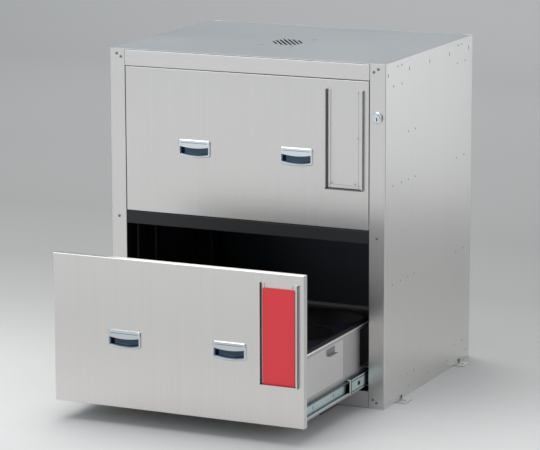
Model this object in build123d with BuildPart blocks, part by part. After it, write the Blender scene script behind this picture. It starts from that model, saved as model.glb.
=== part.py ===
from build123d import *
from math import cos, radians, sin
import os

# Two-drawer steel cabinet for reagent bottles.  Millimetres.
# +X is the cabinet's right, seen by someone who faces it, +Y is towards its back, +Z is up.
# The origin is the centre of the footprint, on the floor.

os.makedirs("parts", exist_ok=True)

# ---------------------------------------------------------------- casing sizes
cabinet_width = 700.0
cabinet_depth = 550.0
cabinet_height = 800.0
sheet = 1.2                    # stainless sheet used for the casing and trays
fold_radius = 2.0              # outside radius of each fold
post_width = 40.0
post_return = 25.0             # depth of the flange folded in behind each front post
rear_flange = 25.0
top_rail_height = 40.0
bottom_rail_height = 40.0
middle_rail_height = 31.0
rail_depth = 25.0
base_flange = 30.0             # floor sheet's turned-down edges
top_flange = 35.0              # top sheet's turned-down edges
reveal = 1.0                   # gap shown round each drawer front
running_gap = 0.5              # clearance between a drawer and a fixed piece

# ---------------------------------------------------------------- drawer sizes
front_thickness = 17.5
lower_drawer_opening = 361.0   # how far out the lower drawer stands
upper_drawer_opening = 0.0
tray_side_space = 56.0         # casing's outside to the tray's wall, for the upright and the slide
tray_width = cabinet_width - 2 * tray_side_space
tray_rear_space = 40.1         # tray's rear wall to the back sheet, drawer shut
tray_depth = cabinet_depth - 2 * sheet - front_thickness - tray_rear_space
tray_height = 150.5
tray_lift = 3.0                # bottom of the tray above the bottom of its front
tray_top_flange = 12.0
rack_rim = 8.0                 # upturned edge round the bottle rack
rack_inset = 4.0               # rack's edge inside the tray's side
bottle_hole = 158.0
bottle_side_margin = 4.5
bottle_pitch_x = (tray_width - 2 * bottle_side_margin) / 3
bottle_pitch_y = 172.0
bottle_rows_from_front = tray_depth - bottle_pitch_y  # middle of the rows behind the face
pad_thickness = 3.5
pad_width = 9.0
pad_length = 94.0
pad_from_front = 126.0

# ---------------------------------------------------------------- slide sizes
slide_thickness = 12.7
slide_lift = 28.5              # middle of the slide above the bottom of its front
slide_gauge = 1.2
outer_height = 45.6
outer_from_front = 20.0
outer_rear_space = 50.0        # slide's rear end to the cabinet's back
outer_length = cabinet_depth - outer_from_front - outer_rear_space
middle_height = 35.2
middle_length = 360.0
middle_from_front = 96.0       # with the drawer shut
middle_stand_off = 1.8         # middle member's web clear of the outer member's back face
inner_height = 25.6
inner_from_front = 19.0
inner_rear_space = 18.5        # inner member's rear end to the tray's rear wall
inner_length = tray_depth + front_thickness - inner_from_front - inner_rear_space
inner_flange = 8.1
lip = 2.4                      # turned-in edge of a slide member
cage_gauge = 0.4
cage_clearance = 0.1
ball_clearance = 0.1
outer_cage_length = 190.0
outer_cage_from_front = 135.0
inner_cage_length = 150.0
inner_cage_from_front = 215.0
balls_per_row = 3
ball_end_margin = 12.0

# ---------------------------------------------------------------- derived places
half_width = cabinet_width / 2
front_y = -cabinet_depth / 2
rear_y = cabinet_depth / 2
inside_x = half_width - sheet
post_inner_x = half_width - post_width
front_width = 2 * (post_inner_x - reveal)
rails_and_gaps = top_rail_height + bottom_rail_height + middle_rail_height + 4 * reveal
front_height = (cabinet_height - rails_and_gaps) / 2
lower_front_bottom = bottom_rail_height + reveal
middle_rail_bottom = lower_front_bottom + front_height + reveal
middle_rail_top = middle_rail_bottom + middle_rail_height
upper_front_bottom = middle_rail_top + reveal
tray_half = tray_width / 2
crown_x = tray_half + slide_thickness        # face on which the slides are mounted
drawers = (
    ("lower", lower_front_bottom, front_y - lower_drawer_opening),
    ("upper", upper_front_bottom, front_y - upper_drawer_opening),
)
sides = (("left", -1), ("right", 1))


def keep(piece, name):
    """Name a finished piece and write it out."""
    piece.part.label = name
    export_step(piece.part, f"parts/{name}.step")


def folded(points, gauge=sheet, side=Side.LEFT, radius=fold_radius):
    """Section of a sheet folded along the points, which follow one of its faces."""
    with BuildSketch() as section:
        with BuildLine():
            FilletPolyline(*points, radius=radius)
            offset(amount=gauge, side=side)
        make_face()
    return section.sketch


def facing_front(y):
    """Plane square to the depth at y, drawn in X and Z; extrusions come forward."""
    return Plane.XZ.offset(-y)


# ================================================================ casing
# ---- rows of fasteners, measured from the cabinet's front face and from the floor
upright_flange = 14.0
rear_upright_in = 76.5         # middle of the rear uprights, from the cabinet's back
tall_upright_drop = 43.0       # top of an upright below the cabinet's top
short_upright_drop = 160.0
upright_places = {"front": 71.0, "middle": 159.5, "rear": cabinet_depth - rear_upright_in}
upright_tops = {
    "front": cabinet_height - tall_upright_drop,
    "middle": cabinet_height - short_upright_drop,
    "rear": cabinet_height - tall_upright_drop,
}
crown_widths = {"front": 36.0, "middle": 27.0, "rear": 37.0}
rivet_rows = (53.0, 285.0, 515.5)
top_rivet_drop = 12.5          # uppermost rivet below the upright's top
base_rivet_count = 4
base_rivet_pitch = 125.0
base_rivet_in = 27.0           # rearmost base rivet from the cabinet's back
base_rivets_y = [cabinet_depth - base_rivet_in - place * base_rivet_pitch for place in range(base_rivet_count)]
base_rivet_z = 24.0
top_rivets_front = (71.6, 95.0)
top_rivets_rear = (98.0, 75.4)
top_rivets_y = top_rivets_front + tuple(cabinet_depth - inset for inset in top_rivets_rear)
top_rivet_z = cabinet_height - 13.0
rivet_radius = 1.5
rivet_head_radius = 2.5
rivet_head = 0.9
rivet_grip = 2 * sheet
fit = 0.15                     # clearance round a fastener or barrel in its hole


def upright_rivets(name):
    """Depth of an upright's two rivet rows and the height of each rivet in them."""
    half_span = crown_widths[name] / 2 + upright_flange / 2
    depths = (upright_places[name] - half_span, upright_places[name] + half_span)
    heights = rivet_rows + (upright_tops[name] - top_rivet_drop,)
    return [(front_y + depth, height) for depth in depths for height in heights]


side_rivets_at = [place for name in upright_places for place in upright_rivets(name)]
side_rivets_at += [(front_y + depth, base_rivet_z) for depth in base_rivets_y]
side_rivets_at += [(front_y + depth, top_rivet_z) for depth in top_rivets_y]

# ---- side panels: one sheet each, folded round the front to make the post and its return
slot_width = 3.0
slot_height = 9.0
slot_z = cabinet_height - 27.5
slot_first = 14.6
slot_last = 27.4               # rearmost slot from the cabinet's back
slot_count = 5
slot_pitch = (cabinet_depth - slot_first - slot_last) / (slot_count - 1)
foot_inset = 87.0              # middle of a foot from the cabinet's front and back
foot_y = cabinet_depth / 2 - foot_inset
foot_width = 42.0
foot_reach = 27.0
foot_gauge = 2.3
foot_corner = 3.0
foot_leg = 34.0
foot_hole_radius = 4.5
foot_hole_out = 15.0           # hole centre outside the casing
notch_clearance = 1.5
notch_height = 10.0
lock_x = half_width - post_width / 2
lock_drop = 122.5              # lock below the cabinet's top
lock_z = cabinet_height - lock_drop
barrel_radius = 11.0
post_screw_radius = 1.9
rear_screw_x = half_width - rear_flange / 2
rear_screw_count = 5
rear_screw_end = 60.0          # outermost rear screws from the floor and from the top
rear_screw_pitch = (cabinet_height - 2 * rear_screw_end) / (rear_screw_count - 1)
rear_screws_z = [rear_screw_end + place * rear_screw_pitch for place in range(rear_screw_count)]
# each pair of post screws, inwards from the cabinet's side and from the end of the post
top_post_screws = ((18.5, 12.0), (29.4, 19.0))
low_post_screws = ((28.3, 20.5), (19.3, 13.7))
post_screws_at = [(half_width - inwards, cabinet_height - drop) for inwards, drop in top_post_screws]
post_screws_at += [(half_width - post_width / 2, middle_rail_bottom + middle_rail_height / 2)]
post_screws_at += [(half_width - inwards, height) for inwards, height in low_post_screws]

with BuildPart() as left_side_panel:
    with BuildSketch():
        add(folded(
            [
                (-post_inner_x, front_y + post_return),
                (-post_inner_x, front_y),
                (-half_width, front_y),
                (-half_width, rear_y),
                (-half_width + rear_flange, rear_y),
            ],
            side=Side.RIGHT,
        ))
    extrude(amount=cabinet_height)
    # the return stops under the top sheet
    with Locations((-post_inner_x, front_y + sheet, cabinet_height)):
        Box(
            3 * sheet, post_return, sheet,
            align=(Align.CENTER, Align.MIN, Align.MAX), mode=Mode.SUBTRACT,
        )
    with BuildSketch(Plane.YZ.offset(-half_width)):
        for slot in range(slot_count):
            with Locations((front_y + slot_first + slot * slot_pitch, slot_z)):
                Rectangle(slot_width, slot_height)
        with Locations((-foot_y, notch_height / 2), (foot_y, notch_height / 2)):
            Rectangle(foot_width + 2 * notch_clearance, notch_height)
        with Locations(*side_rivets_at):
            Circle(rivet_radius + fit)
    extrude(amount=sheet, mode=Mode.SUBTRACT)
    with BuildSketch(facing_front(front_y)):
        with Locations(*[(-x, z) for x, z in post_screws_at]):
            Circle(post_screw_radius + fit)
    extrude(amount=-sheet, mode=Mode.SUBTRACT)
    with BuildSketch(facing_front(rear_y)):
        with Locations(*[(-rear_screw_x, z) for z in rear_screws_z]):
            Circle(post_screw_radius + fit)
    extrude(amount=sheet, mode=Mode.SUBTRACT)
keep(left_side_panel, "left_side_panel")

with BuildPart() as right_side_panel:
    mirror(left_side_panel.part, about=Plane.YZ)
    with BuildSketch(facing_front(front_y)):
        with Locations((lock_x, lock_z)):
            Circle(barrel_radius + fit)
    extrude(amount=-sheet, mode=Mode.SUBTRACT)
keep(right_side_panel, "right_side_panel")

# ---- top sheet: a slanted oval field of air slots, edges turned down inside the side panels
vent_x = -6.0
vent_y = -23.0
vent_length = 102.0
vent_width = 72.0
vent_slot_width = 4.8
vent_slot_pitch = 10.2
vent_slot_count = 7
vent_slant = -56.0
vent_screw_x = 40.0
vent_screw_y = 65.0
panel_depth = cabinet_depth - 2 * sheet - sheet      # stops against the back sheet
corner_relief = 1.5
corner_cut = sheet - 0.2       # the turned-down edges pass the folds of the side panels

with BuildPart() as top_panel:
    with BuildSketch(facing_front(front_y + sheet)):
        add(folded(
            [
                (-inside_x, cabinet_height - top_flange),
                (-inside_x, cabinet_height),
                (inside_x, cabinet_height),
                (inside_x, cabinet_height - top_flange),
            ],
            side=Side.RIGHT,
        ))
    extrude(amount=-panel_depth)
    corners = top_panel.edges().filter_by(Axis.Z).group_by(Axis.Y)
    chamfer([e for e in corners[0] + corners[-1] if abs(e.center().X) > inside_x - sheet / 2], corner_cut)
    with BuildSketch(Plane.XY.offset(cabinet_height - sheet)):
        with Locations((0, front_y + sheet / 2)):
            Rectangle(2 * post_inner_x, sheet)
        with Locations((0, rear_y - sheet)):
            Rectangle(2 * (half_width - rear_flange), 2 * sheet)
    extrude(amount=sheet)
    with BuildSketch(facing_front(rear_y - 2 * sheet)):
        with Locations((0, cabinet_height - sheet)):
            Rectangle(2 * (inside_x - corner_relief), top_flange - sheet, align=(Align.CENTER, Align.MAX))
    extrude(amount=sheet)
    with BuildSketch(Plane.XY.offset(cabinet_height)):
        with BuildSketch(mode=Mode.PRIVATE) as slots:
            with GridLocations(0, vent_slot_pitch, 1, vent_slot_count):
                SlotOverall(2 * vent_length, vent_slot_width)
        with BuildSketch(mode=Mode.PRIVATE) as field:
            Ellipse(vent_length / 2, vent_width / 2)
        with Locations(Location((vent_x, vent_y), vent_slant)):
            add(slots.sketch & field.sketch)
        with Locations((vent_x, vent_y)):
            with GridLocations(2 * vent_screw_x, 2 * vent_screw_y, 2, 2):
                Circle(post_screw_radius + fit)
    extrude(amount=-sheet, mode=Mode.SUBTRACT)
    with BuildSketch(Plane.YZ.offset(-inside_x)):
        with Locations(*[(front_y + depth, top_rivet_z) for depth in top_rivets_y]):
            Circle(rivet_radius + fit)
    extrude(amount=2 * inside_x, mode=Mode.SUBTRACT)
keep(top_panel, "top_panel")

# ---- base sheet: tongue under the bottom rail, edges turned down, closed at the back
base_top = bottom_rail_height - sheet
tongue_in = 12.0               # front edge of the tongue from the cabinet's front
tongue_end = front_y + tongue_in
with BuildPart() as base_panel:
    with BuildSketch(facing_front(front_y + post_return)):
        add(folded(
            [
                (-inside_x, base_top - base_flange),
                (-inside_x, base_top),
                (inside_x, base_top),
                (inside_x, base_top - base_flange),
            ],
            side=Side.RIGHT,
        ))
    extrude(amount=-(rear_y - 2 * sheet - front_y - post_return))
    with BuildSketch(Plane.XY.offset(base_top)):
        with Locations((0, front_y + post_return)):
            Rectangle(
                2 * (post_inner_x - reveal), front_y + post_return - tongue_end,
                align=(Align.CENTER, Align.MAX),
            )
    extrude(amount=-sheet)
    with BuildSketch(facing_front(rear_y - 2 * sheet)):
        with Locations((0, base_top - sheet)):
            Rectangle(2 * (inside_x - corner_relief), base_flange - sheet, align=(Align.CENTER, Align.MAX))
    extrude(amount=sheet)
    with BuildSketch(Plane.YZ.offset(-inside_x)):
        with Locations(*[(front_y + depth, base_rivet_z) for depth in base_rivets_y]):
            Circle(rivet_radius + fit)
    extrude(amount=2 * inside_x, mode=Mode.SUBTRACT)
keep(base_panel, "base_panel")

# ---- back sheet, screwed inside the side panels' rear flanges
with BuildPart() as rear_panel:
    with BuildSketch(facing_front(rear_y - 2 * sheet)):
        with Locations((0, cabinet_height - sheet)):
            Rectangle(
                2 * (inside_x - corner_relief), cabinet_height - sheet - foot_gauge,
                align=(Align.CENTER, Align.MAX),
            )
        with GridLocations(2 * rear_screw_x, 1, 2, 1):
            with Locations(*[(0, z) for z in rear_screws_z]):
                Circle(post_screw_radius + fit, mode=Mode.SUBTRACT)
    extrude(amount=-sheet)
keep(rear_panel, "rear_panel")

# ---- rails between the posts: channels open to the back
rails = (
    ("bottom_rail", 0.0, bottom_rail_height),
    ("middle_rail", middle_rail_bottom, middle_rail_top),
    ("top_rail", cabinet_height - top_rail_height, cabinet_height - sheet),
)
for name, low, high in rails:
    with BuildPart() as rail:
        with BuildSketch(Plane.YZ.offset(-post_inner_x)):
            add(folded(
                [
                    (front_y + rail_depth, high),
                    (front_y, high),
                    (front_y, low),
                    (front_y + rail_depth, low),
                ],
            ))
        extrude(amount=2 * post_inner_x)
    keep(rail, name)

# ---- cleats behind the posts, one at each end of each rail
cleat_gauge = 1.5
cleat_height = 28.0
cleat_reach = 32.0
cleat_leg = 22.0
low_cleat_z = 17.0
top_cleat_drop = 16.0
cleats_z = (low_cleat_z, middle_rail_bottom + middle_rail_height / 2, cabinet_height - top_cleat_drop)
with BuildPart() as rail_cleats:
    for height in cleats_z:
        with BuildSketch(Plane.XY.offset(height - cleat_height / 2)):
            add(folded(
                [
                    (post_inner_x + sheet, front_y + sheet + cleat_leg),
                    (post_inner_x + sheet, front_y + sheet),
                    (post_inner_x + sheet + cleat_reach, front_y + sheet),
                ],
                gauge=cleat_gauge,
            ))
        extrude(amount=cleat_height)
        with BuildSketch(facing_front(front_y + sheet)):
            near = [(x, z) for x, z in post_screws_at if abs(z - height) < cleat_height / 2]
            with Locations(*near):
                Circle(post_screw_radius + fit)
        extrude(amount=-cleat_gauge, mode=Mode.SUBTRACT)
    mirror(about=Plane.YZ)
keep(rail_cleats, "rail_cleats")

# ---- uprights: hat sections from the base sheet upwards, on which the slides are fixed
shaft_radius = 4.0
shaft_running_fit = 0.1
hook_slot_width = 5.0
hook_slot_height = 36.0
bar_gauge = 2.0
bar_gap = 0.4
bar_width = 17.0
bar_depth_centre = 159.5
bar_travel = 17.0
hook_height = 14.0
hook_lift = 110.5              # hook's lower edge above the bottom of its drawer front
bar_pin_drop = 77.5            # upper pin below the lock
bar_pins_z = (230.0, lock_z - bar_pin_drop)
bar_pin_radius = 2.5
bar_face = crown_x + sheet + bar_gap
hook_depth = bar_depth_centre + bar_width / 2 - bar_gauge / 2
hooks_z = [bottom + hook_lift for name, bottom, face in drawers]

for name in upright_places:
    centre = front_y + upright_places[name]
    half_crown = crown_widths[name] / 2
    edge = half_crown + upright_flange
    with BuildPart() as uprights:
        with BuildSketch(Plane.XY.offset(base_top)):
            add(folded(
                [
                    (inside_x, centre - edge),
                    (inside_x, centre - half_crown),
                    (crown_x + sheet, centre - half_crown),
                    (crown_x + sheet, centre + half_crown),
                    (inside_x, centre + half_crown),
                    (inside_x, centre + edge),
                ],
            ))
        extrude(amount=upright_tops[name] - base_top)
        with BuildSketch(Plane.YZ.offset(inside_x)):
            with Locations(*upright_rivets(name)):
                Circle(rivet_radius + fit)
        extrude(amount=-sheet, mode=Mode.SUBTRACT)
        mirror(about=Plane.YZ)
        if name == "front":
            # the lock's shaft runs through the right-hand one
            with BuildSketch(facing_front(centre - edge)):
                with Locations((lock_x, lock_z)):
                    Circle(shaft_radius + shaft_running_fit)
            extrude(amount=-2 * edge, mode=Mode.SUBTRACT)
        if name == "middle":
            # slots for the hooks and holes for the pins of the lock bar
            with BuildSketch(Plane.YZ.offset(crown_x)):
                for height in hooks_z:
                    with Locations((front_y + hook_depth, height + hook_height / 2 + bar_travel / 2)):
                        Rectangle(hook_slot_width, hook_slot_height)
                with Locations(*[(front_y + bar_depth_centre, z) for z in bar_pins_z]):
                    Circle(bar_pin_radius)
            extrude(amount=sheet, mode=Mode.SUBTRACT)
    keep(uprights, f"{name}_uprights")

# ---- feet: angles fixed inside the base sheet's edge, with a tab out through each notch
foot_face = inside_x - sheet
with BuildPart() as floor_brackets:
    for y in (-foot_y, foot_y):
        with BuildSketch(facing_front(y + foot_width / 2)):
            with BuildLine():
                Polyline(
                    (foot_face, foot_leg), (foot_face, foot_gauge),
                    (half_width + foot_reach, foot_gauge), (half_width + foot_reach, 0),
                    (foot_face - foot_gauge, 0), (foot_face - foot_gauge, foot_leg), close=True,
                )
            make_face()
        extrude(amount=foot_width)
    fillet(floor_brackets.edges().filter_by(Axis.Z).group_by(Axis.X)[-1], foot_corner)
    with BuildSketch():
        with Locations((half_width + foot_hole_out, -foot_y), (half_width + foot_hole_out, foot_y)):
            Circle(foot_hole_radius)
    extrude(amount=foot_gauge, mode=Mode.SUBTRACT)
    mirror(about=Plane.YZ)
keep(floor_brackets, "floor_brackets")

# ---- air deflector under the top sheet's slots, open at its front and back ends
deflector_drop = 12.0
deflector_rim = 12.0
vent_reach = vent_screw_x - deflector_rim / 2
with BuildPart() as vent_deflector:
    with BuildSketch(facing_front(vent_y + vent_screw_y + deflector_rim / 2)):
        with Locations((vent_x, cabinet_height - sheet)):
            add(folded(
                [
                    (-vent_reach - deflector_rim, 0),
                    (-vent_reach, 0),
                    (-vent_reach, -deflector_drop),
                    (vent_reach, -deflector_drop),
                    (vent_reach, 0),
                    (vent_reach + deflector_rim, 0),
                ],
                side=Side.RIGHT,
            ))
    extrude(amount=2 * vent_screw_y + deflector_rim)
    with BuildSketch(Plane.XY.offset(cabinet_height - sheet)):
        with Locations((vent_x, vent_y)):
            with GridLocations(2 * vent_screw_x, 2 * vent_screw_y, 2, 2):
                Circle(post_screw_radius + fit)
    extrude(amount=-2 * sheet, mode=Mode.SUBTRACT)
keep(vent_deflector, "vent_deflector")


# ================================================================ fasteners
head_flat = 0.55               # shares of a head's radius and height at its two bends
head_shoulder = 0.92
head_rise = 0.6


def pan_head_section(radius, height, shank_radius, shank):
    """Half section of a fastener: head above its seat at 0, shank below."""
    with BuildSketch() as section:
        with BuildLine():
            Polyline(
                (0, height), (head_flat * radius, height), (head_shoulder * radius, head_rise * height),
                (radius, 0), (shank_radius, 0), (shank_radius, -shank), (0, -shank), close=True,
            )
        make_face()
    return section.sketch


def pan_head(radius, height, shank_radius, shank):
    """Fastener standing on the XY plane, head upwards."""
    with BuildPart() as fastener:
        with BuildSketch(Plane.XZ):
            add(pan_head_section(radius, height, shank_radius, shank))
        revolve(axis=Axis.Z)
    return fastener.part


def seats(outward, points):
    """One location for each point, with its Z along the outward direction."""
    return [Plane(point, z_dir=outward).location for point in points]


screw_head_radius = 3.3
screw_head = 2.0
screw_shank = sheet + cleat_gauge
with BuildPart() as post_screws:
    places = [(side * x, front_y, z) for name, side in sides for x, z in post_screws_at]
    with Locations(*seats((0, -1, 0), places)):
        add(pan_head(screw_head_radius, screw_head, post_screw_radius, screw_shank))
keep(post_screws, "post_screws")

with BuildPart() as panel_screws:
    rear_places = [(side * rear_screw_x, rear_y, z) for name, side in sides for z in rear_screws_z]
    with Locations(*seats((0, 1, 0), rear_places)):
        add(pan_head(screw_head_radius, screw_head, post_screw_radius, 2 * sheet))
    top_places = [
        (vent_x + dx, vent_y + dy, cabinet_height)
        for dx in (-vent_screw_x, vent_screw_x) for dy in (-vent_screw_y, vent_screw_y)
    ]
    with Locations(*seats((0, 0, 1), top_places)):
        add(pan_head(screw_head_radius, screw_head, post_screw_radius, 2 * sheet))
keep(panel_screws, "panel_screws")

for name, side in sides:
    with BuildPart() as side_rivets:
        with Locations(*seats((side, 0, 0), [(side * half_width, y, z) for y, z in side_rivets_at])):
            add(pan_head(rivet_head_radius, rivet_head, rivet_radius, rivet_grip))
    keep(side_rivets, f"{name}_side_rivets")

# ================================================================ lock
flange_radius = 13.0
flange_height = 3.5
barrel_length = 22.0
plug_radius = 7.5
plug_fit = 0.06
plug_proud = 1.3
plug_length = 26.0
keyway_width = 2.4
keyway_height = 8.0
keyway_depth = 14.0
keyway_drop = 3.0
flange_bevel = 1.0
nut_across = 28.0
nut_height = 5.0
nut_fit = 0.05
crank_radius = 12.0
crank_hub = 7.0
crank_end = 4.0
crank_gauge = 4.5
crank_rest = 225.0             # degrees from the cabinet's right, pin low and inwards
crank_pin_radius = 2.0
pin_clearance = 0.7
crank_pin_proud = 1.5          # end of the crank's pin past the bar's arm
arm_gauge = 2.0
arm_gap = 1.5                  # between the crank's face and the bar's arm
arm_front = bar_depth_centre - bar_width / 2
crank_back = front_y + arm_front - arm_gap
lock_axis = Plane((lock_x, front_y, lock_z), x_dir=(1, 0, 0), z_dir=(0, -1, 0))

with BuildPart() as lock_barrel:
    with BuildSketch(lock_axis):
        Circle(flange_radius)
        Circle(plug_radius + plug_fit, mode=Mode.SUBTRACT)
    extrude(amount=flange_height)
    chamfer(lock_barrel.edges().filter_by(GeomType.CIRCLE).group_by(Axis.Y)[0].sort_by(Edge.length)[-1], flange_bevel)
    with BuildSketch(lock_axis):
        Circle(barrel_radius)
        Circle(plug_radius + plug_fit, mode=Mode.SUBTRACT)
    extrude(amount=-barrel_length)
keep(lock_barrel, "lock_barrel")

with BuildPart() as lock_nut:
    with BuildSketch(lock_axis.offset(-sheet)):
        RegularPolygon(nut_across / 2, 6, major_radius=False)
        Circle(barrel_radius + nut_fit, mode=Mode.SUBTRACT)
    extrude(amount=-nut_height)
keep(lock_nut, "lock_nut")

pin_x = crank_radius * cos(radians(crank_rest))
pin_z = crank_radius * sin(radians(crank_rest))
with BuildPart() as lock_plug:
    with BuildSketch(lock_axis.offset(flange_height + plug_proud)):
        Circle(plug_radius)
    extrude(amount=-(flange_height + plug_proud + plug_length))
    with BuildSketch(lock_axis.offset(flange_height + plug_proud)):
        with Locations((0, -keyway_drop)):
            Rectangle(keyway_width, keyway_height)
    extrude(amount=-keyway_depth, mode=Mode.SUBTRACT)
    with BuildSketch(lock_axis):
        Circle(shaft_radius)
    extrude(amount=-(crank_back - front_y))
    with BuildSketch(lock_axis.offset(front_y - crank_back)):
        with BuildSketch(mode=Mode.PRIVATE) as crank:
            Circle(crank_hub)
            with Locations((pin_x, pin_z)):
                Circle(crank_end)
        make_hull(crank.sketch.edges())
    extrude(amount=crank_gauge)
    with BuildSketch(lock_axis.offset(front_y - crank_back)):
        with Locations((pin_x, pin_z)):
            Circle(crank_pin_radius)
    extrude(amount=-(arm_gap + arm_gauge + crank_pin_proud))
keep(lock_plug, "lock_plug")

# ---- lock bar: slides up behind the right middle upright's crown, hooks through its slots
arm_reach = 21.0
arm_height = 15.0
hook_reach = 9.3
bar_low = 140.0
arm_z = lock_z + pin_z
bar_top = arm_z + arm_height / 2
bar_slot_clearance = 0.3
bar_slot = 2 * (bar_pin_radius + bar_slot_clearance)
with BuildPart() as lock_bar:
    with BuildSketch(Plane.YZ.offset(bar_face)):
        with Locations((front_y + bar_depth_centre, (bar_low + bar_top) / 2)):
            Rectangle(bar_width, bar_top - bar_low)
        # at rest the bar hangs on its pins by the upper ends of the slots
        with Locations(*[(front_y + bar_depth_centre, z - bar_travel / 2) for z in bar_pins_z]):
            SlotOverall(bar_slot + bar_travel, bar_slot, rotation=90, mode=Mode.SUBTRACT)
    extrude(amount=bar_gauge)
    with BuildSketch(facing_front(front_y + arm_front)):
        with Locations((bar_face, arm_z)):
            Rectangle(arm_reach, arm_height, align=(Align.MIN, Align.CENTER))
        slot_low = lock_x - crank_radius
        slot_high = lock_x + pin_x
        with Locations(((slot_low + slot_high) / 2, arm_z)):
            Rectangle(
                slot_high - slot_low + 2 * (crank_pin_radius + pin_clearance),
                2 * (crank_pin_radius + pin_clearance), mode=Mode.SUBTRACT,
            )
    extrude(amount=-arm_gauge)
    for height in hooks_z:
        with BuildSketch(facing_front(front_y + hook_depth - bar_gauge / 2)):
            with Locations((bar_face + bar_gauge, height)):
                Rectangle(hook_reach + bar_gauge, hook_height, align=(Align.MAX, Align.MIN))
        extrude(amount=-bar_gauge)
keep(lock_bar, "lock_bar")

pin_head_radius = 4.5
pin_head = 1.5
pin_fit = 0.02
with BuildPart() as lock_bar_pins:
    for height in bar_pins_z:
        with BuildSketch(Plane.YZ.offset(crown_x)):
            with Locations((front_y + bar_depth_centre, height)):
                Circle(bar_pin_radius - pin_fit)
        extrude(amount=sheet + 2 * bar_gap + bar_gauge)
        with BuildSketch(Plane.YZ.offset(bar_face + bar_gauge + bar_gap)):
            with Locations((front_y + bar_depth_centre, height)):
                Circle(pin_head_radius)
        extrude(amount=pin_head)
keep(lock_bar_pins, "lock_bar_pins")

# ================================================================ slides
outer_web_depth = 11.5
middle_web_depth = 9.1
inner_lip_turn = 1.3           # inner member's lips past its flanges
inner_lip_height = inner_height + 2 * inner_lip_turn
ball_gap_outer = (outer_height / 2 - slide_gauge) - middle_height / 2
ball_gap_inner = (middle_height / 2 - slide_gauge) - inner_height / 2
outer_ball_radius = ball_gap_outer / 2 - ball_clearance
inner_ball_radius = ball_gap_inner / 2 - ball_clearance
outer_ball_z = middle_height / 2 + ball_gap_outer / 2
inner_ball_z = inner_height / 2 + ball_gap_inner / 2
slide_bend = 1.5
bumper_hole = 9.0
bumper_hole_in = 42.0
race_height = 5.5              # rolled ball race along each edge of a middle member's web
race_groove_width = 1.4
race_groove_depth = 0.6
inner_ball_shift = 0.9         # inner balls nearer the casing than the flange's middle


def channel(depth, height, turn, start):
    """C section in X and Z about the slide's middle, web at start, lips turned in; opens to +X."""
    half = height / 2
    return folded(
        [
            (start + depth, half - turn),
            (start + depth, half),
            (start, half),
            (start, -half),
            (start + depth, -half),
            (start + depth, turn - half),
        ],
        gauge=slide_gauge, radius=slide_bend,
    )


def slide_plane(side, y, z):
    """Plane across a slide: X runs from the casing to the drawer and Y is up."""
    return Plane((side * crown_x, y, z), x_dir=(-side, 0, 0), z_dir=(0, side, 0))


def inner_section():
    """C section on the drawer's side, web at the tray's wall, lips turned out."""
    half = inner_height / 2 - slide_gauge
    web = slide_thickness - slide_gauge
    tip = web + slide_gauge - inner_flange
    return folded(
        [
            (tip, inner_lip_height / 2),
            (tip, half),
            (web, half),
            (web, -half),
            (tip, -half),
            (tip, -inner_lip_height / 2),
        ],
        gauge=slide_gauge, radius=slide_bend,
    )


def cage_with_balls(side, y, z, length, web, reach, ball_z, ball_x, ball_radius):
    """Thin U strip between two slide members with a row of balls in each flange."""
    step = (length - 2 * ball_end_margin) / (balls_per_row - 1)
    rows = [
        (side * (crown_x - ball_x), y + ball_end_margin + place * step, z + row * ball_z)
        for row in (-1, 1) for place in range(balls_per_row)
    ]
    with BuildPart() as cage:
        with BuildSketch(slide_plane(side, y, z)):
            add(folded(
                [
                    (reach, ball_z + cage_gauge / 2),
                    (web, ball_z + cage_gauge / 2),
                    (web, -ball_z - cage_gauge / 2),
                    (reach, -ball_z - cage_gauge / 2),
                ],
                gauge=cage_gauge, radius=2 * cage_gauge,
            ))
        extrude(amount=side * length)
        with Locations(*rows):
            Sphere(ball_radius + cage_clearance, mode=Mode.SUBTRACT)
            Sphere(ball_radius)
    return cage.part


slide_screw_radius = 2.5
slide_screws_in = (60.0, 175.0, 420.0)
bumper_length = 10.0
bumper_gap = 0.3

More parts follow.
